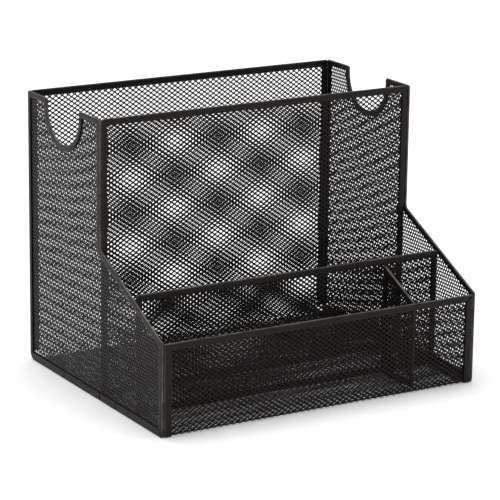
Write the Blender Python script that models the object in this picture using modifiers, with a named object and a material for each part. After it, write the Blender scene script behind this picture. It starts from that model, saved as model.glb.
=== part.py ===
"""Desk organizer of expanded steel mesh bound in folded steel strips.

From front to back it holds a row of small compartments, a letter slot and a bay for
hanging files. X runs to the right, the front is at -Y and Z is up. The origin is the
middle of the footprint, at table height. All sizes are in metres.
"""

import math

import bmesh
import bpy
from mathutils import Matrix, Vector

# Overall sizes
WIDTH = 0.305
DEPTH = 0.240
FILE_HEIGHT = 0.240
FRONT_HEIGHT = 0.0785
SIDE_FRONT_HEIGHT = 0.0795
KINK_HEIGHT = 0.131
LETTER_HEIGHT = 0.1055

# Places of the inner walls: from the front of the organizer to each wall's front
# face, the clear width of the pen bay at the right, and the room left at each end
# of the letter wall
LETTER_WALL_SETBACK = 0.0515
LETTER_WALL_INSET = 0.0022
FILE_WALL_SETBACK = 0.108
PEN_BAY_WIDTH = 0.057
PEN_WALL_DROP = 0.001
PEN_WALL_RISE = 0.0215

# Sheet metal
SHEET = 0.0005
MESH_THICKNESS = 0.0008
CLEARANCE = 0.0003
EDGE_THICKNESS = MESH_THICKNESS + 2 * CLEARANCE + 2 * SHEET

# Widths of the folded strips
SIDE_STRIP = 0.005
BASE_STRIP = 0.007
FRONT_END_STRIP = 0.0068
WALL_END_STRIP = 0.0055
WALL_TOP_STRIP = 0.006

# Hand cut-out in the top of each side panel
CUTOUT_WIDTH = 0.060
CUTOUT_DEPTH = 0.0345
CUTOUT_FLAT = 0.001

# Outer radii of the folds of the wrapped sheet, and of the corners of the panels
FRONT_FOLD = 0.0026
BACK_FOLD = 0.007
FOOT_RADIUS = 0.0015
TOP_RADIUS = 0.002
SLOPE_RADIUS = 0.003
WALL_RADIUS = 0.003
WRAP_CORNER_RADIUS = 0.0012
SMALLEST_RADIUS = 0.0002

# Steps along rounded corners, even so that a joint falls in the middle of one
CORNER_STEPS = 4
FOLD_STEPS = 6
CUTOUT_STEPS = 14

# How far a slot runs past an edge that has no strip
SLOT_OVERRUN = 0.01

SHARP_ANGLE = math.radians(30)

FRONT_Y = -DEPTH / 2
BACK_Y = DEPTH / 2
INNER_HALF_WIDTH = WIDTH / 2 - EDGE_THICKNESS - CLEARANCE
FLOOR_TOP = EDGE_THICKNESS + CLEARANCE

STRIP_FINISH = ("black_strip", (0.030, 0.027, 0.025, 1.0), 0.42, 0.35)
MESH_FINISH = ("black_mesh", (0.022, 0.021, 0.021, 1.0), 0.48, 0.35)


def clear_scene():
    """Remove every object, so that the model starts from nothing."""
    for item in list(bpy.data.objects):
        bpy.data.objects.remove(item, do_unlink=True)


def new_collection(name):
    """A collection linked to the scene."""
    group = bpy.data.collections.new(name)
    bpy.context.scene.collection.children.link(group)
    return group


def new_material(finish):
    """A Principled material from a name, colour, roughness and metallic value."""
    name, color, roughness, metallic = finish
    material = bpy.data.materials.new(name)
    material.use_nodes = True
    shader = material.node_tree.nodes["Principled BSDF"]
    shader.inputs["Base Color"].default_value = color
    shader.inputs["Roughness"].default_value = roughness
    shader.inputs["Metallic"].default_value = metallic
    return material


def side_plane(x):
    """Drawing plane of a side panel: u runs to the back, v up, at the given X."""
    return Matrix(((0, 0, 1, x), (1, 0, 0, 0), (0, 1, 0, 0), (0, 0, 0, 1)))


def cross_plane(y):
    """Drawing plane of a wall across the organizer: u runs right, v up, at the given Y."""
    return Matrix(((1, 0, 0, 0), (0, 0, -1, y), (0, 1, 0, 0), (0, 0, 0, 1)))


def floor_plane(z):
    """Drawing plane of the floor: u runs right, v to the back, at the given Z."""
    return Matrix.Translation((0, 0, z))


def offset_corner(point, before, after, width_before, width_after):
    """A corner of an outline, moved in from the edge before it and the edge after it."""
    normal_before = Vector((-before.y, before.x))
    normal_after = Vector((-after.y, after.x))
    cosine = normal_before.dot(normal_after)
    spread = 1 - cosine * cosine
    if spread < 1e-9:
        return point + normal_after * width_after
    share_before = (width_before - width_after * cosine) / spread
    share_after = (width_after - width_before * cosine) / spread
    return point + normal_before * share_before + normal_after * share_after


def rounded_loop(corners, widths):
    """An anticlockwise outline, moved in by each edge's width, with its corners rounded.

    corners holds (u, v, radius, steps) and widths holds one width for the edge that
    starts at each corner. Returns the points and, for each corner, the index of the
    point in its middle, where two strips meet.
    """
    sharp = [Vector(corner[:2]) for corner in corners]
    count = len(sharp)
    ways = [(sharp[(i + 1) % count] - sharp[i]).normalized() for i in range(count)]
    points = []
    middles = []
    for i, (_, _, radius, steps) in enumerate(corners):
        before, after = ways[i - 1], ways[i]
        corner = offset_corner(sharp[i], before, after, widths[i - 1], widths[i])
        turn = math.atan2(before.cross(after), before.dot(after))
        if radius == 0 or abs(turn) < 1e-6:
            middles.append(len(points))
            points.append(corner)
            continue
        side = math.copysign(1, turn)
        mean_width = (widths[i - 1] + widths[i]) / 2
        bend = max(radius - side * mean_width, SMALLEST_RADIUS)
        start = corner - before * bend * math.tan(abs(turn) / 2)
        centre = start + Vector((-before.y, before.x)) * bend * side
        middles.append(len(points) + steps // 2)
        for step in range(steps + 1):
            angle = turn * step / steps
            spoke = start - centre
            points.append(centre + Matrix.Rotation(angle, 2) @ spoke)
    return points, middles


def trimmed(run, point, inward):
    """A run of points without its start, cut off by the line through point."""
    for i in range(len(run) - 1):
        here = (run[i] - point).dot(inward)
        there = (run[i + 1] - point).dot(inward)
        if there > 0:
            crossing = run[i].lerp(run[i + 1], -here / (there - here))
            return [crossing] + run[i + 1:]
    return run


def joint_line(outer_run, inner_run):
    """Where a strip starts: half a clearance from its joint, square to the joint's line."""
    across = inner_run[0] - outer_run[0]
    inward = Vector((-across.y, across.x)).normalized()
    if inward.dot(outer_run[1] - outer_run[0]) < 0:
        inward = -inward
    return outer_run[0] + inward * CLEARANCE / 2, inward


def strip_outline(outer, inner, first, last):
    """The outline of a strip from one joint to the next, just short of both."""
    count = len(outer)
    length = (last - first) % count
    outer_run = [outer[(first + i) % count] for i in range(length + 1)]
    inner_run = [inner[(first + i) % count] for i in range(length + 1)]
    for _ in range(2):
        point, inward = joint_line(outer_run, inner_run)
        outer_run = trimmed(outer_run, point, inward)[::-1]
        inner_run = trimmed(inner_run, point, inward)[::-1]
    return outer_run + inner_run[::-1]


def finished(item, group, material):
    """Put an object in its collection and give it its material."""
    group.objects.link(item)
    item.data.materials.append(material)
    return item


def as_cutter(item, group):
    """Show a cutting shape as wires only and keep it out of renders."""
    group.objects.link(item)
    item.hide_render = True
    item.display_type = "WIRE"
    return item


def shade(mesh):
    """Shade the rounded stretches smooth and keep the real corners sharp."""
    mesh.shade_smooth()
    mesh.set_sharp_from_angle(angle=SHARP_ANGLE)


def flat_solid(name, outline, thickness, plane):
    """A flat piece of the given outline, centred on its drawing plane, as a mesh object."""
    curve = bpy.data.curves.new(name, "CURVE")
    curve.dimensions = "2D"
    curve.fill_mode = "BOTH"
    curve.extrude = thickness / 2
    spline = curve.splines.new("POLY")
    spline.points.add(len(outline) - 1)
    for target, point in zip(spline.points, outline):
        target.co = (point.x, point.y, 0, 1)
    spline.use_cyclic_u = True
    drawing = bpy.data.objects.new(name + "_drawing", curve)
    bpy.context.scene.collection.objects.link(drawing)
    evaluated = drawing.evaluated_get(bpy.context.evaluated_depsgraph_get())
    mesh = bpy.data.meshes.new_from_object(evaluated)
    bpy.data.objects.remove(drawing)
    shape = bmesh.new()
    shape.from_mesh(mesh)
    bmesh.ops.remove_doubles(shape, verts=shape.verts, dist=1e-6)
    bmesh.ops.recalc_face_normals(shape, faces=shape.faces)
    shape.to_mesh(mesh)
    shape.free()
    shade(mesh)
    mesh.name = name
    item = bpy.data.objects.new(name, mesh)
    item.matrix_world = plane
    return item


def cut(item, cutter):
    """Cut one solid with another."""
    boolean = item.modifiers.new("slot", "BOOLEAN")
    boolean.operation = "DIFFERENCE"
    boolean.solver = "EXACT"
    boolean.object = cutter


def edge_insets(edges, bound, free):
    """For each edge, the value bound if a strip binds it, and free if none does."""
    return [bound if name else free for name, _ in edges]


def bound_panel(name, corners, edges, plane, look, own_mesh=True):
    """A flat panel: mesh bound by a folded strip along each named edge.

    corners is as in rounded_loop. edges holds a strip's name and width for each edge.
    Edges in a row with the same name share one strip, and the name is None where the
    mesh has no strip. The mesh itself is left out where a larger sheet supplies it.
    """
    if own_mesh:
        outline, _ = rounded_loop(corners, edge_insets(edges, SHEET + CLEARANCE, 0.0))
        mesh = flat_solid(name + "_mesh", outline, MESH_THICKNESS, plane)
        finished(mesh, look["parts"], look["mesh"])
    outline, _ = rounded_loop(corners, edge_insets(edges, SHEET, -SLOT_OVERRUN))
    slot = flat_solid(name + "_slot", outline, MESH_THICKNESS + 2 * CLEARANCE, plane)
    as_cutter(slot, look["cutters"])
    outer, joints = rounded_loop(corners, [0.0] * len(corners))
    inner, _ = rounded_loop(corners, [width if edge else 0.0 for edge, width in edges])
    for i, (edge, _) in enumerate(edges):
        if edge is None or edge == edges[i - 1][0]:
            continue
        last = i + 1
        while edges[last % len(edges)][0] == edge:
            last += 1
        outline = strip_outline(outer, inner, joints[i], joints[last % len(edges)])
        strip = flat_solid(edge, outline, EDGE_THICKNESS, plane)
        cut(strip, slot)
        finished(strip, look["parts"], look["strip"])


def base_seams():
    """Distances from the front at which the base strips of a side panel meet."""
    letter_slot_middle = (LETTER_WALL_SETBACK + FILE_WALL_SETBACK) / 2
    file_bay_middle = (FILE_WALL_SETBACK + DEPTH) / 2
    return letter_slot_middle, FILE_WALL_SETBACK, file_bay_middle


def side_corners():
    """Corners of a side panel, from the front foot along the base and round."""
    seams = [(FRONT_Y + distance, 0.0, 0.0, 0) for distance in base_seams()]
    riser = FRONT_Y + FILE_WALL_SETBACK
    middle = (riser + BACK_Y) / 2
    cut_front = middle - CUTOUT_WIDTH / 2
    cut_rear = middle + CUTOUT_WIDTH / 2
    cut_low = FILE_HEIGHT - CUTOUT_DEPTH
    widest = (CUTOUT_WIDTH - CUTOUT_FLAT) / 2
    deepest = CUTOUT_DEPTH - TOP_RADIUS - CUTOUT_FLAT
    cut_radius = min(widest, deepest)
    return [
        (FRONT_Y, 0.0, FOOT_RADIUS, CORNER_STEPS),
        *seams,
        (BACK_Y, 0.0, BACK_FOLD, FOLD_STEPS),
        (BACK_Y, FILE_HEIGHT, TOP_RADIUS, CORNER_STEPS),
        (cut_rear, FILE_HEIGHT, TOP_RADIUS, CORNER_STEPS),
        (cut_rear, cut_low, cut_radius, CUTOUT_STEPS),
        (cut_front, cut_low, cut_radius, CUTOUT_STEPS),
        (cut_front, FILE_HEIGHT, TOP_RADIUS, CORNER_STEPS),
        (riser, FILE_HEIGHT, TOP_RADIUS, CORNER_STEPS),
        (riser, KINK_HEIGHT, SLOPE_RADIUS, CORNER_STEPS),
        (FRONT_Y, SIDE_FRONT_HEIGHT, SLOPE_RADIUS, CORNER_STEPS),
    ]


def side_panel(side, direction, look):
    """A stepped side panel with a hand cut-out, bound all round by folded strips."""
    edges = [
        (side + "_base_strip_front", BASE_STRIP),
        (side + "_base_strip_letter", BASE_STRIP),
        (side + "_base_strip_file", BASE_STRIP),
        (side + "_base_strip_rear", BASE_STRIP),
        (side + "_back_strip", SIDE_STRIP),
        (side + "_top_strip_rear", SIDE_STRIP),
        (side + "_cutout_trim", SIDE_STRIP),
        (side + "_cutout_trim", SIDE_STRIP),
        (side + "_cutout_trim", SIDE_STRIP),
        (side + "_top_strip_front", SIDE_STRIP),
        (side + "_riser_strip", SIDE_STRIP),
        (side + "_slope_strip", SIDE_STRIP),
        (side + "_front_strip", SIDE_STRIP),
    ]
    plane = side_plane(direction * (WIDTH - EDGE_THICKNESS) / 2)
    bound_panel(side + "_side", side_corners(), edges, plane, look)


def cross_wall(name, half_width, low, high, setback, end_strip, look, own_mesh=True):
    """A wall across the organizer. One with no mesh of its own is open at its foot."""
    radius = WALL_RADIUS if own_mesh else WRAP_CORNER_RADIUS
    corners = [
        (-half_width, low, 0.0, 0),
        (half_width, low, 0.0, 0),
        (half_width, high, radius, CORNER_STEPS),
        (-half_width, high, radius, CORNER_STEPS),
    ]
    edges = [
        (name + "_bottom_strip" if own_mesh else None, end_strip),
        (name + "_right_strip", end_strip),
        (name + "_top_rail", WALL_TOP_STRIP),
        (name + "_left_strip", end_strip),
    ]
    plane = cross_plane(FRONT_Y + setback + EDGE_THICKNESS / 2)
    bound_panel(name, corners, edges, plane, look, own_mesh)


def letter_wall(look):
    """The low wall between the front compartments and the letter slot."""
    half_width = INNER_HALF_WIDTH - LETTER_WALL_INSET
    setback = LETTER_WALL_SETBACK
    cross_wall("letter_wall", half_width, FLOOR_TOP, LETTER_HEIGHT, setback, WALL_END_STRIP, look)


def file_wall(look):
    """The full-height wall between the letter slot and the bay for hanging files."""
    half_width = INNER_HALF_WIDTH
    setback = FILE_WALL_SETBACK
    cross_wall("file_wall", half_width, FLOOR_TOP, FILE_HEIGHT, setback, WALL_END_STRIP, look)


def pen_wall(look):
    """The short wall beside the pen compartment, its top sloping up to the rear."""
    front = FRONT_Y + EDGE_THICKNESS + CLEARANCE
    rear = FRONT_Y + LETTER_WALL_SETBACK - CLEARANCE
    corners = [
        (front, FLOOR_TOP, 0.0, 0),
        (rear, FLOOR_TOP, 0.0, 0),
        (rear, FRONT_HEIGHT + PEN_WALL_RISE, TOP_RADIUS, CORNER_STEPS),
        (front, FRONT_HEIGHT - PEN_WALL_DROP, TOP_RADIUS, CORNER_STEPS),
    ]
    edges = [
        ("pen_wall_bottom_strip", SIDE_STRIP),
        ("pen_wall_rear_strip", SIDE_STRIP),
        ("pen_wall_top_rail", WALL_TOP_STRIP),
        ("pen_wall_front_strip", SIDE_STRIP),
    ]
    inner_face = WIDTH / 2 - EDGE_THICKNESS
    plane = side_plane(inner_face - PEN_BAY_WIDTH - EDGE_THICKNESS / 2)
    bound_panel("pen_wall", corners, edges, plane, look)


def floor_strips(look):
    """The strips that bind the long edges of the floor, between the two folds."""
    corners = [
        (-INNER_HALF_WIDTH, FRONT_Y + FRONT_FOLD, 0.0, 0),
        (INNER_HALF_WIDTH, FRONT_Y + FRONT_FOLD, 0.0, 0),
        (INNER_HALF_WIDTH, BACK_Y - BACK_FOLD, 0.0, 0),
        (-INNER_HALF_WIDTH, BACK_Y - BACK_FOLD, 0.0, 0),
    ]
    edges = [
        (None, BASE_STRIP),
        ("floor_right_strip", BASE_STRIP),
        (None, BASE_STRIP),
        ("floor_left_strip", BASE_STRIP),
    ]
    bound_panel("floor", corners, edges, floor_plane(EDGE_THICKNESS / 2), look, False)


def fold_points(centre, radius, first_angle):
    """Points a quarter turn round a fold, as (y, z), starting at first_angle."""
    points = []
    for step in range(FOLD_STEPS + 1):
        angle = first_angle + math.pi / 2 * step / FOLD_STEPS
        points.append(centre + radius * Vector((math.cos(angle), math.sin(angle))))
    return points


def wrap_mesh(look):
    """The mesh sheet that makes the front, the floor and the back, bent up at both ends."""
    half = EDGE_THICKNESS / 2
    fit = SHEET + CLEARANCE
    front_centre = Vector((FRONT_Y + FRONT_FOLD, FRONT_FOLD))
    back_centre = Vector((BACK_Y - BACK_FOLD, BACK_FOLD))
    profile = [
        Vector((FRONT_Y + half, FRONT_HEIGHT - fit)),
        *fold_points(front_centre, FRONT_FOLD - half, math.pi),
        *fold_points(back_centre, BACK_FOLD - half, -math.pi / 2),
        Vector((BACK_Y - half, FILE_HEIGHT - fit)),
    ]
    reach = INNER_HALF_WIDTH - fit
    shape = bmesh.new()
    line = [shape.verts.new((-reach, point.x, point.y)) for point in profile]
    edges = [shape.edges.new(pair) for pair in zip(line, line[1:])]
    grown = bmesh.ops.extrude_edge_only(shape, edges=edges)["geom"]
    moved = [part for part in grown if isinstance(part, bmesh.types.BMVert)]
    bmesh.ops.translate(shape, verts=moved, vec=(2 * reach, 0, 0))
    bmesh.ops.recalc_face_normals(shape, faces=shape.faces)
    mesh = bpy.data.meshes.new("wrap_mesh")
    shape.to_mesh(mesh)
    shape.free()
    shade(mesh)
    item = bpy.data.objects.new("wrap_mesh", mesh)
    solidify = item.modifiers.new("thickness", "SOLIDIFY")
    solidify.thickness = MESH_THICKNESS
    solidify.offset = 0
    solidify.use_even_offset = True
    finished(item, look["parts"], look["mesh"])


def build():
    """Build the organizer panel by panel."""
    clear_scene()
    look = {
        "parts": new_collection("desk_organizer"),
        "cutters": new_collection("cutters"),
        "strip": new_material(STRIP_FINISH),
        "mesh": new_material(MESH_FINISH),
    }
    side_panel("left", -1, look)
    side_panel("right", 1, look)
    wrap_mesh(look)
    floor_strips(look)
    ends = INNER_HALF_WIDTH
    rear_face = DEPTH - EDGE_THICKNESS
    cross_wall("front", ends, FRONT_FOLD, FRONT_HEIGHT, 0.0, FRONT_END_STRIP, look, False)
    cross_wall("back", ends, BACK_FOLD, FILE_HEIGHT, rear_face, WALL_END_STRIP, look, False)
    letter_wall(look)
    file_wall(look)
    pen_wall(look)


build()
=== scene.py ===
"""Looks of a desk organizer made of expanded steel mesh bound in folded strips.

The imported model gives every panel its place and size. Here each plain sheet becomes real
diamond mesh, cut and pulled open from one sheet, and each plain strip becomes a folded
channel with a rounded rim. All lengths are in metres. X runs to the right, Y to the back
and Z up.
"""

import logging
import math
from collections.abc import Callable
from dataclasses import dataclass, replace
from enum import Enum

import bmesh
import bpy
import numpy as np
from bpy.types import bpy_prop_collection, ID, Material, Node, NodeSocket, NodeTree, Object
from mathutils import Matrix, Vector


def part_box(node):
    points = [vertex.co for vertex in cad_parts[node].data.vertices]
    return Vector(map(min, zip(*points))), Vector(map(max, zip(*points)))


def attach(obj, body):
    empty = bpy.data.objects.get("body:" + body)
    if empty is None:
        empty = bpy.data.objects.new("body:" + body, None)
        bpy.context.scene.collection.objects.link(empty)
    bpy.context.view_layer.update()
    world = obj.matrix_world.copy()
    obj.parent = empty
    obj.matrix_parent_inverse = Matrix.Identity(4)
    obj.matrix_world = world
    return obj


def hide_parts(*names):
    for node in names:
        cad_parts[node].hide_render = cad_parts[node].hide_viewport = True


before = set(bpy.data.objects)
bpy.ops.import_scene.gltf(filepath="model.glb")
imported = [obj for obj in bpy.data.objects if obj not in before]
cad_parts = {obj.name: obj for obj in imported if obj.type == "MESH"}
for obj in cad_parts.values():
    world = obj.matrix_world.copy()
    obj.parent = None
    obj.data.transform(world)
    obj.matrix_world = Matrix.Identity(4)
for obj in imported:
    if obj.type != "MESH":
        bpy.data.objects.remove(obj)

Array = np.ndarray
Pair = tuple[float, float]
Triple = tuple[float, float, float]

LOG = logging.getLogger("desk_organizer")
BODY = "root"

CLOSED_SEAM = 0.00006
MITRE_SEAM = 0.0008
BASE_SEAM = 0.0014
SHARPEST_RADIUS = 0.00015
MERGE_DISTANCE = 2e-6
STRAIGHT = 1e-6
SECTION_SPACING = 0.008
MESH_CREASE = math.radians(35)
STRIP_CREASE = math.radians(40)

# Steps of a strip's section: along a flat, round a bend and round a lip
FLAT_STEPS = 7
BEND_STEPS = 6
LIP_STEPS = 7

# Detail of the paint, in bumps, specks or patches per metre
BUMP_SCALE = 620.0
GRAIN_SCALE = 3400.0
CLOUD_SCALE = 38.0
SPECK_SCALE = 1900.0
WEAR_AND_SHEEN_SCALE = 95.0
DUST_SCALE = 160.0

DUST_COLOR = (0.32, 0.30, 0.28, 1.0)
DUST_ROUGHNESS = 0.4
WEAR_ROUGHNESS = -0.16
BUMP_STRENGTH = 0.55
BUMP_DISTANCE = 0.0001
RIM_SHARPNESS = 4.0

# Spans of noise, and of the normal's upward part, over which an effect sets in
CLOUD_SPAN = (0.35, 0.65)
SPECK_SPAN = (0.66, 0.74)
WEAR_AND_SHEEN_SPAN = (0.3, 0.6)
DUST_SPAN = (0.3, 0.75)
UPWARD_SPAN = (0.5, 1.0)


class Facing(Enum):
    """Which way a panel faces, as the axes of its outline and of its thickness."""

    SIDE = ((0, 1, 0), (0, 0, 1), (1, 0, 0))
    CROSS = ((1, 0, 0), (0, 0, 1), (0, -1, 0))
    FLAT = ((1, 0, 0), (0, 1, 0), (0, 0, 1))


class Run(Enum):
    """Which outline axes the long way and the short way of the diamonds follow."""

    ALONG_U = (0, 1)
    ALONG_V = (1, 0)


@dataclass(frozen=True)
class Corner:
    """A corner of a panel's outline, with the radius and the steps of its rounding."""

    u: float
    v: float
    radius: float = 0.0
    steps: int = 6


@dataclass(frozen=True)
class Edge:
    """The strip that binds the edge after a corner.

    Args:
        strip: The strip's name, or None where the mesh is bare.
        width: How far the strip reaches in.
        seam: Gap between the strip and the one before it.
    """

    strip: str | None
    width: float
    seam: float = CLOSED_SEAM


@dataclass(frozen=True)
class Plane:
    """The plane that a panel lies in.

    Args:
        facing: Its axes.
        level: Where its middle lies along its normal axis, in metres.
    """

    facing: Facing
    level: float

    def place(self, points: Array) -> Array:
        """Turn (u, v, t) into (x, y, z): u, v and t times the plane's three axes, added.

        Args:
            points: An array whose last axis holds u, v and t.

        Returns:
            An array of the same shape that holds x, y and z.
        """
        axes = np.array(self.facing.value, float)
        normal = axes[2] * np.sign(axes[2].sum())
        return points @ axes + self.level * normal


@dataclass(frozen=True)
class StripShape:
    """Cross-section of a folded strip, a channel whose two lips hold the mesh.

    Args:
        half: Half of its outer thickness.
        sheet: Thickness of the sheet that it is folded from.
        rim_radius: Outer radius of its two bends.
        crimp: How far each lip is pressed in towards the mesh.
        crimp_length: How much of each lip is pressed in.
    """

    half: float = 0.0012
    sheet: float = 0.0005
    rim_radius: float = 0.00115
    crimp: float = 0.00012
    crimp_length: float = 0.0016

    def profile(self, width: float) -> Array:
        """Outline of the section, from one lip round the rim to the other and back inside.

        Each face is a straight run, two quarter circles with the rim between them, and a
        straight run. A half circle ends each lip. The lips sink along a half cosine.

        Args:
            width: How far the strip reaches in from the panel's edge.

        Returns:
            An array of (inset, t) rows, closed without repeating its first row.
        """
        outer = self._bent(width, self.half, self.rim_radius)
        inner_radius = max(self.rim_radius - self.sheet, SHARPEST_RADIUS)
        inner = self._bent(width, self.half - self.sheet, inner_radius)
        inner[:, 0] += self.sheet * (1 - inner[:, 0] / (width - self.sheet / 2))
        angles = np.linspace(math.pi / 2, -math.pi / 2, LIP_STEPS)[1:-1]
        arc = self.sheet / 2 * np.stack([np.cos(angles), np.sin(angles)], 1)
        lip = arc + (width - self.sheet / 2, self.half - self.sheet / 2)
        loop = np.concatenate([outer, lip * (1, -1), inner[::-1], lip[::-1]])
        reach = np.clip((loop[:, 0] - width + self.crimp_length) / self.crimp_length, 0, 1)
        sink = self.crimp * (1 - np.cos(math.pi * reach)) / 2
        loop[:, 1] -= np.sign(loop[:, 1]) * sink
        return loop

    def _bent(self, width: float, half: float, radius: float) -> Array:
        """One face of the channel, from its upper lip round the rim to its lower lip.

        Args:
            width: How far the face reaches in.
            half: Half of the face's thickness.
            radius: Radius of its two bends.

        Returns:
            An array of (inset, t) rows.
        """
        reach = width - self.sheet / 2
        runs = np.linspace(reach, radius, FLAT_STEPS)[:-1]
        flat = np.stack([runs, np.full_like(runs, half)], 1)
        angles = np.linspace(math.pi / 2, math.pi, BEND_STEPS)
        centre = np.array([radius, half - radius])
        bend = centre + radius * np.stack([np.cos(angles), np.sin(angles)], 1)
        upper = np.concatenate([flat, bend])
        lower = upper[::-1] * np.array([1, -1])
        return np.concatenate([upper, lower])


@dataclass(frozen=True)
class DiamondMesh:
    """Expanded sheet: slit in rows and pulled open into diamonds.

    Args:
        long_way: Length of a diamond, from bond to bond.
        short_way: Height of a diamond, from bond to bond.
        bond_length: Length of a bond, between the tips of two holes in a row.
        bond_height: Height of a bond, between the tips of two holes one above the other.
        tip: Height of the blunt tips at a hole's two ends.
        thickness: Thickness of the sheet.
        tilt: How far the pulled strands stand out of the sheet, in radians.
    """

    long_way: float = 0.0060
    short_way: float = 0.00415
    bond_length: float = 0.0027
    bond_height: float = 0.0015
    tip: float = 0.0008
    thickness: float = 0.00035
    tilt: float = math.radians(20)

    def grid(self, low: Array, high: Array) -> tuple[Array, Array]:
        """Corner points and faces of the sheet's middle surface.

        Holes and bonds alternate on a grid of half a diamond each way, like the squares of a
        chess board. A bond is a hexagon between the tips of the four holes round it. Two
        faces make it, and one face joins it to each bond diagonally above. A point leaves the
        plane by its height over its bond, times the tangent of the tilt.

        Args:
            low: Lowest (long, short) corner of the area to fill.
            high: Highest (long, short) corner of the area to fill.

        Returns:
            Rows of (long, short, normal), and rows of four point numbers.
        """
        step = np.array([self.long_way, self.short_way]) / 2
        count = np.ceil((high - low) / step).astype(int) + 3
        start = (low + high) / 2 - (count - 1) * step / 2
        columns, rows = np.meshgrid(np.arange(count[0]), np.arange(count[1]))
        centres = start + np.stack([columns, rows], -1) * step
        reach, tip, rise = self.bond_length / 2, self.tip / 2, self.bond_height / 2
        hexagon = np.array([
            (-reach, tip), (-reach, -tip), (0, -rise), (reach, -tip), (reach, tip), (0, rise)
        ])
        flat = centres[:, :, None, :] + hexagon
        away = np.broadcast_to(-hexagon[:, 1] * math.tan(self.tilt), flat.shape[:3])
        points = np.concatenate([flat, away[..., None]], -1)
        number = np.arange(points[..., 0].size).reshape(points.shape[:3])
        bond = (columns + rows) % 2 == 1
        own = number[bond]
        faces = [own[:, [0, 1, 2, 5]], own[:, [5, 2, 3, 4]]]
        here, right_above = number[:-1, :-1][bond[:-1, :-1]], number[1:, 1:][bond[:-1, :-1]]
        faces.append(np.stack([here[:, 4], right_above[:, 2], right_above[:, 1], here[:, 5]], 1))
        here, left_above = number[:-1, 1:][bond[:-1, 1:]], number[1:, :-1][bond[:-1, 1:]]
        faces.append(np.stack([here[:, 5], left_above[:, 3], left_above[:, 2], here[:, 0]], 1))
        return points.reshape(-1, 3), np.concatenate(faces)

    def thickened(self, points: Array, faces: Array) -> tuple[Array, Array]:
        """Give the middle surface its thickness, with a wall along every open edge.

        Each point moves both ways by half the thickness, along the tilted strands' normal. An
        edge that only one face has is open.

        Args:
            points: Rows of (long, short, normal).
            faces: Rows of four point numbers.

        Returns:
            Points and faces of the closed sheet.
        """
        used, faces = np.unique(faces, return_inverse=True)
        faces = faces.reshape(-1, 4)
        offset = self.thickness / 2 * np.array([0, math.sin(self.tilt), math.cos(self.tilt)])
        solid = np.concatenate([points[used] + offset, points[used] - offset])
        edges = np.stack([faces, np.roll(faces, -1, 1)], -1).reshape(-1, 2)
        key = np.sort(edges, 1) @ np.array([len(used), 1])
        _, place, shared = np.unique(key, return_inverse=True, return_counts=True)
        start, end = edges[shared[place] == 1].T
        below = len(used)
        walls = np.stack([end, start, start + below, end + below], 1)
        return solid, np.concatenate([faces, faces[:, ::-1] + below, walls])


WIDE_MESH = DiamondMesh()
NARROW_MESH = DiamondMesh(
    short_way=0.00333,
    bond_length=0.0036,
    bond_height=0.0010,
    tip=0.0008,
    thickness=0.0003,
    tilt=math.radians(9),
)


def unit(vector: Array) -> Array:
    """The vector at length one."""
    return vector / np.linalg.norm(vector)


def rounded_corner(
    corner: Corner, before: Array, after: Array, inset_before: Array, inset_after: Array
) -> Array:
    """Points of one rounded corner of an outline, for several insets at once.

    An arc that touches both moved edges replaces the corner. Its radius is the corner's,
    less the inset on an outer corner and plus the inset on an inner one.

    Args:
        corner: The corner.
        before: Direction of the edge before it.
        after: Direction of the edge after it.
        inset_before: Insets of the edge before it.
        inset_after: Insets of the edge after it.

    Returns:
        An array of insets, arc points and (u, v).
    """
    normal_before = np.array([-before[1], before[0]])
    normal_after = np.array([-after[1], after[0]])
    sharp = np.array([corner.u, corner.v])
    turn = math.atan2(before[0] * after[1] - before[1] * after[0], before @ after)
    if abs(turn) < STRAIGHT:
        return (sharp + inset_after[:, None] * normal_after)[:, None, :]
    cosine = normal_before @ normal_after
    spread = 1 - cosine * cosine
    share_before = (inset_before - inset_after * cosine) / spread
    share_after = (inset_after - inset_before * cosine) / spread
    moved = sharp + share_before[:, None] * normal_before + share_after[:, None] * normal_after
    if corner.radius == 0:
        return moved[:, None, :]
    side = math.copysign(1, turn)
    radius = corner.radius - side * (inset_before + inset_after) / 2
    radius = np.maximum(radius, SHARPEST_RADIUS)[:, None]
    centre = moved - before * radius * math.tan(abs(turn) / 2) + normal_before * radius * side
    spoke = -normal_before * radius * side
    turned = np.stack([-spoke[:, 1], spoke[:, 0]], 1)
    angles = (turn * np.linspace(0, 1, corner.steps + 1))[None, :, None]
    return centre[:, None] + np.cos(angles) * spoke[:, None] + np.sin(angles) * turned[:, None]


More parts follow.
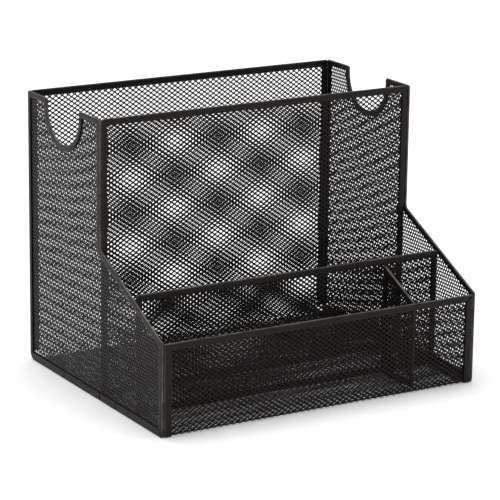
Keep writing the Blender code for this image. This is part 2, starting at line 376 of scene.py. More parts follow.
@dataclass(frozen=True)
class Outline:
    """An anticlockwise outline with rounded corners, and the strip along each edge."""

    corners: tuple[Corner, ...]
    edges: tuple[Edge, ...]

    @classmethod
    def four_sided(
        cls, ends: Pair, foot: float, tops: Pair, radius: float, edges: tuple[Edge, ...]
    ) -> "Outline":
        """An outline of four corners, level along its foot.

        Args:
            ends: Where its two ends lie.
            foot: Where its foot lies.
            tops: Where its top lies at each end.
            radius: Radius of the two corners of its top.
            edges: Its edges from the foot round.

        Returns:
            The outline.
        """
        first, last = ends
        lower = (Corner(first, foot), Corner(last, foot))
        return cls((*lower, Corner(last, tops[1], radius), Corner(first, tops[0], radius)), edges)

    def arcs(self, insets: Array) -> list[Array]:
        """The rounded corners, each as an array of insets, arc points and (u, v).

        Args:
            insets: An array of insets by edges.

        Returns:
            One array for each corner.
        """
        sharp = np.array([(corner.u, corner.v) for corner in self.corners])
        ways = [unit(step) for step in np.roll(sharp, -1, 0) - sharp]
        return [
            rounded_corner(corner, ways[i - 1], ways[i], insets[:, i - 1], insets[:, i])
            for i, corner in enumerate(self.corners)
        ]

    def polygon(self, inset: float) -> Array:
        """The whole outline, moved in by one inset where a strip binds it."""
        insets = np.array([[inset if edge.strip else 0.0 for edge in self.edges]])
        return np.concatenate([arc[0] for arc in self.arcs(insets)])

    def way(self, edge: int) -> Array:
        """Direction of an edge, from its corner to the next."""
        count = len(self.corners)
        start, end = self.corners[edge % count], self.corners[(edge + 1) % count]
        return unit(np.array([end.u - start.u, end.v - start.v]))

    def strips(self) -> list[tuple[str, int, int]]:
        """Each strip's name, its first edge and how many edges it covers."""
        found = []
        for i, edge in enumerate(self.edges):
            if edge.strip is None or edge.strip == self.edges[i - 1].strip:
                continue
            count = 1
            while self.edges[(i + count) % len(self.edges)].strip == edge.strip:
                count += 1
            found.append((edge.strip, i, count))
        return found

    def stations(self, first: int, count: int, shares: Array) -> Array:
        """Sections of a strip along its edges, from the middle of one corner to the next.

        Args:
            first: The first edge.
            count: How many edges the strip covers.
            shares: Inset of each column, as a share of each edge's width.

        Returns:
            An array of columns, sections and (u, v).
        """
        widths = np.array([edge.width if edge.strip else 0.0 for edge in self.edges])
        arcs = self.arcs(shares[:, None] * widths)
        total = len(arcs)
        runs = [arcs[first][:, arcs[first].shape[1] // 2:]]
        for step in range(1, count + 1):
            arc = arcs[(first + step) % total]
            if step == count:
                arc = arc[:, : arc.shape[1] // 2 + 1]
            start, end = runs[-1][:, -1:], arc[:, :1]
            pieces = max(int(np.linalg.norm(end[0] - start[0]) / SECTION_SPACING), 1)
            share = np.linspace(0, 1, pieces + 1)[1:-1][None, :, None]
            runs += [start + (end - start) * share, arc]
        return np.concatenate(runs, 1)


def new_object(name: str, data: ID) -> Object:
    """An object that shows the data, linked to the scene."""
    shown = bpy.data.objects.new(name, data)
    bpy.context.scene.collection.objects.link(shown)
    return shown


def new_piece(name: str, points: Array, faces: Array) -> Object:
    """A mesh object from arrays of points and four-sided faces, shaded smooth.

    Args:
        name: The piece's name.
        points: An array of (x, y, z) rows.
        faces: An array of rows of four point numbers.

    Returns:
        The object.
    """
    mesh = bpy.data.meshes.new(name)
    mesh.vertices.add(len(points))
    mesh.vertices.foreach_set("co", points.astype(np.float32).ravel())
    mesh.loops.add(faces.size)
    mesh.loops.foreach_set("vertex_index", faces.astype(np.int32).ravel())
    mesh.polygons.add(len(faces))
    mesh.polygons.foreach_set("loop_start", np.arange(0, faces.size, 4, dtype=np.int32))
    mesh.update(calc_edges=True)
    mesh.shade_smooth()
    return new_object(name, mesh)


def inside(points: Array, polygon: Array) -> Array:
    """Which points lie in a polygon, from how often a ray to the right crosses it: odd is inside.

    Args:
        points: An array whose last axis holds u and v.
        polygon: An array of (u, v) rows.

    Returns:
        An array of truth values.
    """
    odd = np.zeros(points.shape[:-1], bool)
    u, v = points[..., 0], points[..., 1]
    for (u0, v0), (u1, v1) in zip(polygon, np.roll(polygon, -1, 0)):
        if v0 == v1:
            continue
        crossing = (v > v0) != (v > v1)
        odd ^= crossing & (u < u0 + (v - v0) * (u1 - u0) / (v1 - v0))
    return odd


def mesh_piece(
    name: str,
    mesh: DiamondMesh,
    points: Array,
    faces: Array,
    place: Callable[[Array], Array],
    flipped: bool = False,
) -> Object:
    """Make one piece of diamond mesh from the faces that are left of its sheet.

    Args:
        name: The piece's name.
        mesh: The kind of mesh.
        points: Points of the sheet's middle surface.
        faces: Its faces.
        place: Turns (long, short, normal) into (x, y, z).
        flipped: Whether that turns the shape inside out.

    Returns:
        The mesh object.
    """
    solid, closed = mesh.thickened(points, faces)
    piece = new_piece(name, place(solid), closed[:, ::-1] if flipped else closed)
    piece.data.set_sharp_from_angle(angle=MESH_CREASE)
    return piece


def strip_piece(
    name: str, outline: Outline, first: int, count: int, plane: Plane, shape: StripShape
) -> Object:
    """Carry the channel's section along the panel's edge, and close both ends.

    A point of the strip is the outline moved in by the section's inset, plus the section's
    height along the panel's normal.

    Args:
        name: The piece's name.
        outline: The panel's outline.
        first: The first edge that the strip binds.
        count: How many edges it binds.
        plane: The panel's plane.
        shape: The strip's section.

    Returns:
        The mesh object.
    """
    width = outline.edges[first].width
    section = shape.profile(width)
    grid = outline.stations(first, count, section[:, 0] / width)
    following = outline.edges[(first + count) % len(outline.edges)]
    ways = (outline.way(first), -outline.way(first + count - 1))
    for way, gap in zip(ways, (outline.edges[first].seam, following.seam)):
        grid = stopped_short(grid, section[:, 0], way, gap)[:, ::-1]
    columns, rows = grid.shape[:2]
    height = np.broadcast_to(section[:, 1][:, None, None], (columns, rows, 1))
    points = plane.place(np.concatenate([grid, height], 2)).reshape(-1, 3)
    number = np.arange(columns * rows).reshape(columns, rows)
    onward = np.roll(number, -1, 0)
    sides = np.stack([number[:, :-1], number[:, 1:], onward[:, 1:], onward[:, :-1]], -1)
    piece = new_piece(name, points, sides.reshape(-1, 4))
    # Nearness to the rim: masks the wear and the painted highlight along the rims
    rim = np.clip(1 - np.repeat(section[:, 0], rows) / (2 * shape.rim_radius), 0, 1)
    layer = piece.data.attributes.new("rim", "FLOAT", "POINT")
    layer.data.foreach_set("value", rim.astype(np.float32))
    shell = bmesh.new()
    shell.from_mesh(piece.data)
    shell.verts.ensure_lookup_table()
    for end in (number[:, 0], number[:, -1]):
        shell.faces.new([shell.verts[i] for i in end])
    bmesh.ops.remove_doubles(shell, verts=shell.verts, dist=MERGE_DISTANCE)
    bmesh.ops.dissolve_degenerate(shell, edges=shell.edges, dist=MERGE_DISTANCE)
    bmesh.ops.recalc_face_normals(shell, faces=shell.faces)
    for face in shell.faces:
        face.smooth = True
    shell.to_mesh(piece.data)
    shell.free()
    piece.data.set_sharp_from_angle(angle=STRIP_CREASE)
    return piece


def stopped_short(grid: Array, insets: Array, along: Array, gap: float) -> Array:
    """Move the first sections of a strip on, so that it stops half a gap from its joint.

    The joint is the line through the outermost and the innermost point of the first
    section. Points nearer to it than half the gap slide along the strip.

    Args:
        grid: An array of columns, sections and (u, v).
        insets: Inset of each column.
        along: Direction in which the strip leaves the joint.
        gap: The gap at the joint.

    Returns:
        The grid with its first sections moved.
    """
    outer, inner = grid[insets.argmin(), 0], grid[insets.argmax(), 0]
    normal = unit(np.array([outer[1] - inner[1], inner[0] - outer[0]]))
    normal = normal * math.copysign(1, normal @ along)
    near = slice(0, grid.shape[1] // 2)
    short = np.maximum(gap / 2 - (grid[:, near] - outer) @ normal, 0)
    moved = grid.copy()
    moved[:, near] += short[..., None] * along / (normal @ along)
    return moved


class Wiring:
    """Short ways to add and join the nodes of one node tree."""

    def __init__(self, tree: NodeTree) -> None:
        """Keep the tree that the nodes go in."""
        self.tree = tree

    def add(self, kind: str, settings: dict[str, object] | None = None, **inputs) -> Node:
        """A node with its own fields set and its sockets fed.

        Args:
            kind: The node's type, without its ShaderNode prefix.
            settings: Values for the node's own fields.
            inputs: Values or output sockets for its inputs. An underscore stands for a space.

        Returns:
            The node.
        """
        prefix = "" if kind.startswith("Node") else "ShaderNode"
        node = self.tree.nodes.new(prefix + kind)
        for label, value in (settings or {}).items():
            setattr(node, label, value)
        for label, value in inputs.items():
            self.feed(node.inputs[label.replace("_", " ")], value)
        return node

    def group(self, tree: NodeTree, **inputs) -> bpy_prop_collection:
        """The outputs of a node group with the given inputs."""
        return self.add("Group", {"node_tree": tree}, **inputs).outputs

    def feed(self, socket: NodeSocket, value: object) -> None:
        """Link an output to a socket, or set the socket's value."""
        if isinstance(value, NodeSocket):
            self.tree.links.new(value, socket)
        else:
            socket.default_value = value

    def math(self, operation: str, *values: object, clamp: bool = False) -> NodeSocket:
        """The result of a Math node on values or output sockets."""
        node = self.add("Math", {"operation": operation, "use_clamp": clamp})
        for socket, value in zip(node.inputs, values):
            self.feed(socket, value)
        return node.outputs[0]

    def blend(self, share: object, first: object, second: object) -> NodeSocket:
        """Two colours mixed by a share."""
        node = self.add("Mix", {"data_type": "RGBA"})
        self.feed(node.inputs["Factor"], share)
        self.feed(node.inputs["A"], first)
        self.feed(node.inputs["B"], second)
        return node.outputs["Result"]

    def remap(self, value: object, span: Pair, to: Pair = (0.0, 1.0)) -> NodeSocket:
        """A value carried from one span to another and held inside it."""
        node = self.add("MapRange", None, Value=value, From_Min=span[0], From_Max=span[1])
        node.inputs["To Min"].default_value = to[0]
        node.inputs["To Max"].default_value = to[1]
        return node.outputs[0]

    def noise(self, vector: object, scale: float, detail: float = 2.0) -> NodeSocket:
        """The value of a Noise Texture."""
        return self.add("TexNoise", None, Vector=vector, Scale=scale, Detail=detail).outputs[0]


def new_material(name: str) -> tuple[Material, Wiring, Node]:
    """A material, the wiring of its nodes and its main shader."""
    material = bpy.data.materials.new(name)
    material.use_nodes = True
    tree = material.node_tree
    return material, Wiring(tree), tree.nodes["Principled BSDF"]


def new_group(
    name: str, inputs: dict[str, str], outputs: dict[str, str]
) -> tuple[Wiring, bpy_prop_collection]:
    """Start a shader node group with the named sockets.

    Args:
        name: The group's name.
        inputs: Names of the sockets that it takes, and Vector, Color or Float for each.
        outputs: The same for those that it gives.

    Returns:
        The wiring of its node tree, and the sockets that carry its inputs.
    """
    tree = bpy.data.node_groups.new(name, "ShaderNodeTree")
    for direction, sockets in (("INPUT", inputs), ("OUTPUT", outputs)):
        for label, kind in sockets.items():
            tree.interface.new_socket(label, in_out=direction, socket_type="NodeSocket" + kind)
    wire = Wiring(tree)
    return wire, wire.add("NodeGroupInput").outputs


def orange_peel() -> NodeTree:
    """Height of baked powder paint: soft bumps with a fine grain on them."""
    wire, given = new_group(
        "orange_peel", {"Vector": "Vector", "Bumps": "Float", "Grain": "Float"}, {"Height": "Float"}
    )
    bumps = wire.noise(given["Vector"], BUMP_SCALE, 1.0)
    grain = wire.noise(given["Vector"], GRAIN_SCALE)
    height = wire.math("MULTIPLY", bumps, given["Bumps"])
    height = wire.math("MULTIPLY_ADD", grain, given["Grain"], height)
    wire.add("NodeGroupOutput", None, Height=height)
    return wire.tree


def coat_tone() -> NodeTree:
    """Colour of the paint: its own shade, clouded, with fine lighter specks."""
    wire, given = new_group(
        "coat_tone",
        {"Vector": "Vector", "Deep": "Color", "Pale": "Color", "Speck": "Color"},
        {"Color": "Color", "Cloud": "Float"},
    )
    cloud = wire.remap(wire.noise(given["Vector"], CLOUD_SCALE, 4.0), CLOUD_SPAN)
    color = wire.blend(cloud, given["Deep"], given["Pale"])
    speck = wire.remap(wire.noise(given["Vector"], SPECK_SCALE, 1.0), SPECK_SPAN, (0.0, 0.25))
    color = wire.blend(speck, color, given["Speck"])
    wire.add("NodeGroupOutput", None, Color=color, Cloud=cloud)
    return wire.tree


def rim_sheen_and_wear() -> NodeTree:
    """Rims in uneven patches, where the paint is worn and a painted highlight lightens it."""
    wire, given = new_group(
        "rim_sheen_and_wear", {"Vector": "Vector", "Rim": "Float", "Amount": "Float"}, {"Wear": "Float"}
    )
    patches = wire.remap(wire.noise(given["Vector"], WEAR_AND_SHEEN_SCALE, 5.0), WEAR_AND_SHEEN_SPAN, (0.3, 1.0))
    rim = wire.math("POWER", given["Rim"], RIM_SHARPNESS)
    wear_and_sheen = wire.math("MULTIPLY", wire.math("MULTIPLY", rim, patches), given["Amount"])
    wire.add("NodeGroupOutput", None, Wear=wear_and_sheen)
    return wire.tree


def settled_dust() -> NodeTree:
    """Where dust lies: on what faces up, thinner where it has been brushed off."""
    wire, given = new_group(
        "settled_dust", {"Vector": "Vector", "Amount": "Float"}, {"Dust": "Float"}
    )
    normal = wire.add("NewGeometry").outputs["Normal"]
    upward = wire.remap(wire.add("SeparateXYZ", None, Vector=normal).outputs["Z"], UPWARD_SPAN)
    brushed = wire.remap(wire.noise(given["Vector"], DUST_SCALE, 3.0), DUST_SPAN, (0.2, 1.0))
    dust = wire.math("MULTIPLY", wire.math("MULTIPLY", upward, brushed), given["Amount"])
    wire.add("NodeGroupOutput", None, Dust=dust)
    return wire.tree


@dataclass(frozen=True)
class PowderCoat:
    """Baked powder paint on steel.

    Args:
        name: The finish's name.
        slot: Name of a material slot; not used.
        deep: The darker shade of its colour.
        pale: The lighter shade.
        speck: Colour of its fine specks.
        edge: Colour of its rims, far lighter than the paint: a painted highlight.
        roughness: Lowest and highest roughness.
        bumps: Height of its soft bumps.
        grain: Height of its grain.
        wear_and_sheen: How much its rims are worn, and lightened by the painted highlight.
        dust: How much dust lies on it.
        specular: Strength of its surface reflection.
        tint: Colour of its surface reflection.
    """

    name: str
    slot: str
    deep: Triple
    pale: Triple
    speck: Triple
    edge: Triple
    roughness: Pair
    bumps: float
    grain: float
    wear_and_sheen: float
    dust: float
    specular: float = 0.15
    tint: Triple = (1.0, 0.88, 0.82)

    def material(self, groups: dict[str, NodeTree]) -> Material:
        """The finish as a material.

        Args:
            groups: The shared shader node groups by name.

        Returns:
            The material.
        """
        material, wire, shader = new_material(self.name)
        place = wire.add("TexCoord").outputs["Object"]
        rim = wire.add("Attribute", {"attribute_name": "rim"}).outputs["Fac"]
        deep, pale, speck, edge = ((*c, 1.0) for c in (self.deep, self.pale, self.speck, self.edge))
        tone = wire.group(groups["coat_tone"], Vector=place, Deep=deep, Pale=pale, Speck=speck)
        wear_and_sheen = wire.group(groups["rim_sheen_and_wear"], Vector=place, Rim=rim, Amount=self.wear_and_sheen)["Wear"]
        dust = wire.group(groups["settled_dust"], Vector=place, Amount=self.dust)["Dust"]
        peel = wire.group(groups["orange_peel"], Vector=place, Bumps=self.bumps, Grain=self.grain)
        # Painted highlight: the rims are lightened towards the edge colour, in the worn patches
        color = wire.blend(wear_and_sheen, tone["Color"], edge)
        color = wire.blend(dust, color, DUST_COLOR)
        rough = wire.remap(tone["Cloud"], (0.0, 1.0), self.roughness)
        rough = wire.math("MULTIPLY_ADD", wear_and_sheen, WEAR_ROUGHNESS, rough)
        rough = wire.math("MULTIPLY_ADD", dust, DUST_ROUGHNESS, rough, clamp=True)
        height = {"Height": peel["Height"], "Strength": BUMP_STRENGTH, "Distance": BUMP_DISTANCE}
        bump = wire.add("Bump", None, **height)
        wire.feed(shader.inputs["Base Color"], color)
        wire.feed(shader.inputs["Roughness"], rough)
        wire.feed(shader.inputs["Normal"], bump.outputs["Normal"])
        shader.inputs["Specular IOR Level"].default_value = self.specular
        shader.inputs["Specular Tint"].default_value = (*self.tint, 1.0)
        return material


STRIP_COAT = PowderCoat(
    name="satin_black_strip",
    slot="black_strip",
    deep=(0.0070, 0.0057, 0.0051),
    pale=(0.0100, 0.0083, 0.0074),
    speck=(0.045, 0.040, 0.037),
    # A painted highlight: the colour that the rims are lightened towards, in patches
    edge=(0.125, 0.116, 0.108),
    roughness=(0.36, 0.46),
    bumps=0.6,
    grain=0.35,
    wear_and_sheen=0.9,
    dust=0.02,
)

# A darker copy of the strips' paint: painted shade, so that the walls seen through the holes read
# dark
MESH_COAT = PowderCoat(
    name="satin_black_mesh",
    slot="black_mesh",
    deep=(0.0056, 0.0047, 0.0042),
    pale=(0.0082, 0.0069, 0.0062),
    speck=(0.024, 0.021, 0.0195),
    edge=(0.024, 0.021, 0.0195),
    roughness=(0.34, 0.46),
    bumps=0.4,
    grain=0.3,
    wear_and_sheen=0.0,
    dust=0.015,
)


@dataclass(frozen=True)
class Stock:
    """What the organizer is made from: strips, and the finishes of strips and mesh."""

    strip: StripShape
    mesh_material: Material
    strip_material: Material

    def finish(self, piece: Object, is_mesh: bool) -> Object:
        """Give a piece its material and slot, and let it ride on the organizer's body."""
        piece.data.materials.append(self.mesh_material if is_mesh else self.strip_material)
        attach(piece, BODY)
        LOG.info("%s: %d faces", piece.name, len(piece.data.polygons))
        return piece


@dataclass(frozen=True)
class Panel:
    """A flat panel of diamond mesh bound by folded strips.

    Args:
        name: The panel's name.
        outline: Its outline and strips.
        plane: The plane that it lies in.
        mesh: Its kind of mesh.
        run: Which way its diamonds point.
        mesh_inset: How far the mesh stays inside the outline.
    """

    name: str
    outline: Outline
    plane: Plane
    mesh: DiamondMesh = WIDE_MESH
    run: Run = Run.ALONG_U
    mesh_inset: float = 0.0012

    def build(self, stock: Stock) -> None:
        """Make the panel's mesh and strips."""
        self.build_mesh(stock)
        self.build_strips(stock)

    def build_mesh(self, stock: Stock) -> None:
        """Fill the outline with diamond mesh, clipped where the strips cover its edge."""
        polygon = self.outline.polygon(self.mesh_inset)
        order = list(self.run.value)
        points, faces = self.mesh.grid(polygon.min(0)[order], polygon.max(0)[order])
        faces = faces[inside(points[faces].mean(1)[:, order], polygon)]

        def place(solid: Array) -> Array:
            """Turn (long, short, normal) into (x, y, z)."""
            return self.plane.place(solid[:, [*order, 2]])

        flipped = self.run is Run.ALONG_V
        piece = mesh_piece(self.name + "_diamonds", self.mesh, points, faces, place, flipped)
        stock.finish(piece, True)
        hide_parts(self.name + "_mesh")

    def build_strips(self, stock: Stock) -> None:
        """Fold a strip over each bound edge."""
        for strip, first, count in self.outline.strips():
            piece = strip_piece(strip + "_fold", self.outline, first, count, self.plane, stock.strip)
            stock.finish(piece, False)
            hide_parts(strip)


@dataclass(frozen=True)
class Bounds:
    """The organizer's main planes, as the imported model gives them."""

    half_width: float
    front: float
    back: float
    top: float
    thickness: float
    clearance: float = 0.0003

    @classmethod
    def of_frame(cls) -> "Bounds":
        """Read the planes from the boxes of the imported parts."""
        foot_low, foot_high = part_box("left_base_strip_front")
        return cls(
            half_width=-foot_low.x,
            front=foot_low.y,
            back=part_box("left_back_strip")[1].y,
            top=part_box("left_top_strip_front")[1].z,
            thickness=foot_high.x - foot_low.x,
        )

    @property
    def inner(self) -> float:
        """Half of the clear width between the side panels."""
        return self.half_width - self.thickness - self.clearance

    @property
    def floor(self) -> float:
        """Height at which the inner walls stand on the floor."""
        return self.thickness + self.clearance


@dataclass(frozen=True)
class SidePanel:
    """A stepped side with a hand cut-out.

    Args:
        side: left or right.
        bounds: The organizer's main planes.
        strip: Width of its strips.
        base_strip: Width of the strips along its foot.
        kink_height: Where the slope meets the riser.
        slope_foot: Where the slope meets the front edge.
        cut_radius: Radius of the cut-out's round base.
        corner_radius: Radius of its upper corners.
        slope_radius: Radius of the slope's two corners.
        back_radius: Radius of its lower rear corner.
        foot_radius: Radius of its lower front corner.
        back_steps: Steps of the lower rear corner.
        cut_steps: Steps of each half of the cut-out's base.
        base_lengths: The lengths of the base strip, from the front.
    """

    side: str
    bounds: Bounds
    strip: float = 0.005
    base_strip: float = 0.007
    kink_height: float = 0.131
    slope_foot: float = 0.0795
    cut_radius: float = 0.0295
    corner_radius: float = 0.002
    slope_radius: float = 0.003
    back_radius: float = 0.007
    foot_radius: float = 0.0015
    back_steps: int = 12
    cut_steps: int = 24
    base_lengths: tuple[str, ...] = ("front", "letter", "file", "rear")

    def outline(self) -> Outline:
        """Corners from the front foot along the base, up the back and round the cut-out."""
        box = self.bounds
        lengths = [f"{self.side}_base_strip_{part}" for part in self.base_lengths]
        seams = [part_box(name)[1].y for name in lengths[:-1]]
        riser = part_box(self.side + "_riser_strip")[0].y
        trim_low, trim_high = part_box(self.side + "_cutout_trim")
        cut_front, cut_rear = trim_low.y + self.strip, trim_high.y - self.strip
        cut_base = trim_low.z + self.strip
        small, slope = self.corner_radius, self.slope_radius
        corners = (
            Corner(box.front, 0.0, self.foot_radius),
            *(Corner(seam, 0.0) for seam in seams),
            Corner(box.back, 0.0, self.back_radius, self.back_steps),
            Corner(box.back, box.top, small),
            Corner(cut_rear, box.top, small),
            Corner(cut_rear, cut_base, self.cut_radius, self.cut_steps),
            Corner(cut_front, cut_base, self.cut_radius, self.cut_steps),
            Corner(cut_front, box.top, small),
            Corner(riser, box.top, small),
            Corner(riser, self.kink_height, slope),
            Corner(box.front, self.slope_foot, slope),
        )
        base = [Edge(name, self.base_strip, BASE_SEAM) for name in lengths]
        upper = ("back_strip", "top_strip_rear", *("cutout_trim",) * 3, "top_strip_front")
        upper += ("riser_strip", "slope_strip", "front_strip")
        edges = (*base, *(Edge(f"{self.side}_{part}", self.strip) for part in upper))
        return Outline(corners, edges)

    def build(self, stock: Stock) -> None:
        """Make the side's mesh and strips."""
        middle = self.bounds.half_width - self.bounds.thickness / 2
        hand = -1 if self.side == "left" else 1
        plane = Plane(Facing.SIDE, hand * middle)
        mesh = replace(NARROW_MESH, tilt=-hand * NARROW_MESH.tilt)
        Panel(self.side + "_side", self.outline(), plane, mesh, Run.ALONG_V).build(stock)


@dataclass(frozen=True)
class CrossWall:
    """A wall across the organizer.

    Args:
        name: Its name.
        half_width: Half of its width.
        foot: Height of its lower edge.
        end_strip: Width of the strips at its two ends.
        top_rail: Width of the rail along its top.
        corner_radius: Radius of its upper corners.
        footed: Whether a strip binds its lower edge. Otherwise the wrapped sheet is its mesh.
        seam: Gap at its upper right joint.
    """

    name: str
    half_width: float
    foot: float
    end_strip: float = 0.0055
    top_rail: float = 0.006
    corner_radius: float = 0.003
    footed: bool = True
    seam: float = CLOSED_SEAM

    def build(self, stock: Stock) -> None:
        """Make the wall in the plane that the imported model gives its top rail."""
        low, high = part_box(self.name + "_top_rail")
        ends = (-self.half_width, self.half_width)
        edges = (
            Edge(self.name + "_bottom_strip" if self.footed else None, self.end_strip),
            Edge(self.name + "_right_strip", self.end_strip),
            Edge(self.name + "_top_rail", self.top_rail, self.seam),
            Edge(self.name + "_left_strip", self.end_strip),
        )
        outline = Outline.four_sided(ends, self.foot, (high.z, high.z), self.corner_radius, edges)
        panel = Panel(self.name, outline, Plane(Facing.CROSS, (low.y + high.y) / 2))
        if self.footed:
            panel.build(stock)
        else:
            panel.build_strips(stock)


@dataclass(frozen=True)
class PenWall:
    """The short wall beside the pen compartment, with a top that slopes up to the rear.

    Args:
        front_drop: How far its top lies below the front's, at the front.
        rise: How far its top lies above the front's, at the rear.
        strip: Width of its strips.
        top_rail: Width of the rail along its top.
        corner_radius: Radius of its upper corners.
    """

    front_drop: float = 0.001
    rise: float = 0.0215
    strip: float = 0.005
    top_rail: float = 0.006
    corner_radius: float = 0.002

    def build(self, stock: Stock) -> None:
        """Make the wall's mesh and strips."""
        low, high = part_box("pen_wall_front_strip")
        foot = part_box("pen_wall_bottom_strip")[0].z
        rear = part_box("pen_wall_rear_strip")[1].y
        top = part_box("front_top_rail")[1].z
        tops = (top - self.front_drop, top + self.rise)
        edges = (
            Edge("pen_wall_bottom_strip", self.strip),
            Edge("pen_wall_rear_strip", self.strip),
            Edge("pen_wall_top_rail", self.top_rail),
            Edge("pen_wall_front_strip", self.strip),
        )
        outline = Outline.four_sided((low.y, rear), foot, tops, self.corner_radius, edges)
        Panel("pen_wall", outline, Plane(Facing.SIDE, (low.x + high.x) / 2)).build(stock)


@dataclass(frozen=True)
class WrappedSheet:
    """The sheet that makes the front, the floor and the back, bent up at both ends.

    Args:
        bounds: The organizer's main planes.
        front_fold: Outer radius of the fold under the front.
        back_fold: Outer radius of the fold under the back.
        front_strip: Width of the strips at the ends of the front.
        floor_strip: Width of the strips along the floor.
        strip_foot: Height at which the front's end strips stop.
        cover: How far the strips cover the mesh's edge.
        bead: How far the fold under the front stands out.
        bead_length: Distance from the bead's middle at which it has sunk to a third.
        top_radius: Radius of the upper corners of the front and the back.
    """

    bounds: Bounds
    front_fold: float = 0.0026
    back_fold: float = 0.007
    front_strip: float = 0.0068
    floor_strip: float = 0.007
    strip_foot: float = 0.0006
    cover: float = 0.0012
    bead: float = 0.0008
    bead_length: float = 0.0045
    top_radius: float = 0.0012

    def lengths(self) -> Array:
        """Lengths along the sheet: the front, its fold, the floor, its fold and the back."""
        box = self.bounds
        half = box.thickness / 2
        front_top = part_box("front_top_rail")[1].z
        quarter = math.pi / 2
        return np.array([
            front_top - self.front_fold,
            quarter * (self.front_fold - half),
            box.back - box.front - self.front_fold - self.back_fold,
            quarter * (self.back_fold - half),
            box.top - self.back_fold,
        ])

    def bend(self, points: Array) -> Array:
        """Turn (x, distance along the sheet, height above it) into (x, y, z).

        The sheet's heading starts straight down, turns by the length of each fold over its
        radius, and ends straight up. A point is where that heading leads, plus its height at
        right angles to the heading. A bell curve leaves a bead at the front's fold.

        Args:
            points: An array of (x, distance, height) rows.

        Returns:
            An array of (x, y, z) rows.
        """
        half = self.bounds.thickness / 2
        lengths = self.lengths()
        along = points[:, 1]
        starts = np.concatenate([[0], np.cumsum(lengths)[:-1]])
        done = [np.clip(along - start, 0, length) for start, length in zip(starts, lengths)]
        done[0] = np.minimum(along, lengths[0])
        done[4] = np.maximum(along - starts[4], 0)
        radius_1, radius_2 = self.front_fold - half, self.back_fold - half
        turn_1, turn_2 = done[1] / radius_1, done[3] / radius_2
        y = self.bounds.front + half + radius_1 * (1 - np.cos(turn_1)) + done[2]
        y = y + radius_2 * np.sin(turn_2)
        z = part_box("front_top_rail")[1].z - done[0] - radius_1 * np.sin(turn_1)
        z = z + radius_2 * (1 - np.cos(turn_2)) + done[4]
        heading = turn_1 + turn_2 - math.pi / 2
        from_bead = along - lengths[0] - lengths[1] / 2
        height = points[:, 2] - self.bead * np.exp(-((from_bead / self.bead_length) ** 2))
        y = y - height * np.sin(heading)
        z = z + height * np.cos(heading)
        return np.stack([points[:, 0], y, z], 1)

    def build(self, stock: Stock) -> None:
        """Make the three lengths of the mesh, then the strips that bind it."""
        lengths = self.lengths()
        reach = self.bounds.inner - self.cover
        low = np.array([-reach, self.cover])
        high = np.array([reach, lengths.sum() - self.cover])
        points, faces = WIDE_MESH.grid(low, high)
        middles = points[faces].mean(1)
        across, along = np.abs(middles[:, 0]), middles[:, 1]
        front_end, back_start = lengths[:2].sum(), lengths[:3].sum()
        foot = self.front_fold + 2 * self.cover
        folded = (along > lengths[0] - self.cover) & (along < front_end + self.cover)
        folded |= (along > back_start - foot) & (along < lengths[:4].sum() + self.cover)
        bare = self.bounds.inner - self.floor_strip + self.cover
        keep = (across < np.where(folded, bare, reach)) & (along > low[1]) & (along < high[1])
        parts = {
            "front_diamonds": along < front_end + foot,
            "floor_diamonds": (along >= front_end + foot) & (along < back_start - foot),
            "back_diamonds": along >= back_start - foot,
        }
        for name, part in parts.items():
            piece = mesh_piece(name, WIDE_MESH, points, faces[keep & part], self.bend)
            stock.finish(piece, True)
            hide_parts("wrap_mesh")
        self.build_strips(stock)

    def build_strips(self, stock: Stock) -> None:
        """Fold the strips over the edges of the front, the floor and the back."""
        box = self.bounds
        back = CrossWall(
            "back", box.inner, self.back_fold, corner_radius=self.top_radius, footed=False
        )
        ends, foot = self.front_strip, self.strip_foot
        front = replace(back, name="front", foot=foot, end_strip=ends, seam=MITRE_SEAM)
        front.build(stock)
        back.build(stock)
        low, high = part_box("floor_left_strip")
        strips = (None, "floor_right_strip", None, "floor_left_strip")
        edges = tuple(Edge(strip, self.floor_strip) for strip in strips)
        ends = (-box.inner, box.inner)
        outline = Outline.four_sided(ends, low.y, (high.y, high.y), 0.0, edges)
        plane = Plane(Facing.FLAT, (low.z + high.z) / 2)
        Panel("floor", outline, plane).build_strips(stock)


class LightKind(Enum):
    """The kinds of studio light, with the name of what sets each one's extent."""

    SOFTBOX = ("AREA", "size")
    SKY = ("SUN", "angle")


@dataclass(frozen=True)
class StudioLight:
    """A soft light.

    Args:
        name: Its name.
        kind: A square softbox, or a wide, far sky.
        place: Where it stands. For a sky only the direction counts.
        aim: The point that it faces.
        extent: Length of a softbox's sides, or how wide a sky looks in radians.
        power: A softbox's power in watts, or a sky's in watts per square metre.
    """

    name: str
    kind: LightKind
    place: Triple
    aim: Triple
    extent: float
    power: float

    def build(self) -> None:
        """Set the light up."""
        kind, extent = self.kind.value
        data = bpy.data.lights.new(self.name, kind)
        setattr(data, extent, self.extent)
        data.energy = self.power
        light = new_object(self.name, data)
        light.location = self.place
        way = Vector(self.aim) - Vector(self.place)
        light.rotation_euler = way.to_track_quat("-Z", "Y").to_euler()


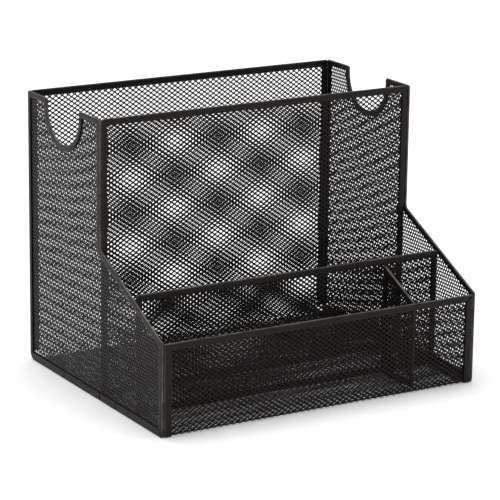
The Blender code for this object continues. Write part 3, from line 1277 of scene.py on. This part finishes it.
@dataclass(frozen=True)
class Studio:
    """A plain pale table, soft light and the camera.

    Args:
        table_size: Length of the table's sides.
        table_tones: The two colours that mottle the table.
        mottle_scale: Patches of the mottling per metre.
        ambient: Brightness of the surroundings.
        camera_place: Where the camera stands.
        yaw: How far it looks to the right of straight on, in radians.
        pitch: How far it looks down.
        roll: How far it is turned about its own axis.
        lens: Focal length in millimetres.
        sensor: Width of the sensor in millimetres.
        lights: The lights.
    """

    table_size: float = 14.0
    table_tones: tuple[tuple[float, ...], ...] = ((0.86, 0.86, 0.865, 1.0), (0.88, 0.88, 0.88, 1.0))
    mottle_scale: float = 6.0
    ambient: float = 0.34
    camera_place: Triple = (-1.07347, -1.79782, 0.68296)
    yaw: float = 0.538
    pitch: float = 0.268
    roll: float = 0.013
    lens: float = 182.26
    sensor: float = 36.0
    lights: tuple[StudioLight, ...] = (
        StudioLight(
            "overhead_light", LightKind.SKY, (-0.03, 0.22, 0.97), (0, 0, 0), math.radians(60), 3.4
        ),
        StudioLight("left_softbox", LightKind.SOFTBOX, (-1.6, 0.5, 0.9), (0, 0, 0.1), 1.0, 3.0),
        StudioLight(
            "right_softbox", LightKind.SOFTBOX, (1.7, -1.3, 0.9), (0.1, -0.1, 0.1), 0.7, 7.0
        ),
    )

    def build(self) -> None:
        """Make the table, the light and the camera."""
        self.build_table()
        self.build_surroundings()
        for light in self.lights:
            light.build()
        self.build_camera()
        bpy.context.scene.view_settings.view_transform = "Standard"

    def build_table(self) -> None:
        """A wide pale table top at height nought, very slightly mottled."""
        half = self.table_size / 2
        corners = np.array([(-half, -half, 0), (half, -half, 0), (half, half, 0), (-half, half, 0)])
        table = new_piece("table", corners, np.array([(0, 1, 2, 3)]))
        material, wire, shader = new_material("pale_table")
        mottle = wire.noise(wire.add("TexCoord").outputs["Object"], self.mottle_scale)
        wire.feed(shader.inputs["Base Color"], wire.blend(mottle, *self.table_tones))
        shader.inputs["Roughness"].default_value = 0.9
        shader.inputs["Specular IOR Level"].default_value = 0.1
        table.data.materials.append(material)

    def build_surroundings(self) -> None:
        """Even white light from all round."""
        world = bpy.data.worlds.new("surroundings")
        world.use_nodes = True
        background = world.node_tree.nodes["Background"]
        background.inputs["Color"].default_value = (1.0, 1.0, 1.0, 1.0)
        background.inputs["Strength"].default_value = self.ambient
        bpy.context.scene.world = world

    def build_camera(self) -> None:
        """Aim the camera from its yaw, pitch and roll, with no shift."""
        flat = math.cos(self.pitch)
        ahead, aside = math.cos(self.yaw), math.sin(self.yaw)
        forward = Vector((aside * flat, ahead * flat, -math.sin(self.pitch)))
        level = Vector((ahead, -aside, 0.0))
        upright = level.cross(forward)
        right = math.cos(self.roll) * level + math.sin(self.roll) * upright
        up = math.cos(self.roll) * upright - math.sin(self.roll) * level
        data = bpy.data.cameras.new("camera")
        data.sensor_width = self.sensor
        data.lens = self.lens
        data.clip_end = 50.0
        camera = new_object("camera", data)
        turn = Matrix((right, up, -forward)).transposed().to_4x4()
        camera.matrix_world = Matrix.Translation(self.camera_place) @ turn
        bpy.context.scene.camera = camera


def main() -> None:
    """Build the organizer panel by panel, then the studio."""
    logging.basicConfig(level=logging.INFO, format="%(name)s: %(message)s")
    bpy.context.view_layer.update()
    groups = {make.__name__: make() for make in (orange_peel, coat_tone, rim_sheen_and_wear, settled_dust)}
    stock = Stock(StripShape(), MESH_COAT.material(groups), STRIP_COAT.material(groups))
    bounds = Bounds.of_frame()
    letter_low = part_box("letter_wall_left_strip")[0]
    SidePanel("left", bounds).build(stock)
    SidePanel("right", bounds).build(stock)
    WrappedSheet(bounds).build(stock)
    CrossWall("letter_wall", -letter_low.x, bounds.floor).build(stock)
    CrossWall("file_wall", bounds.inner, bounds.floor).build(stock)
    PenWall().build(stock)
    Studio().build()


if __name__ == "__main__":
    main()
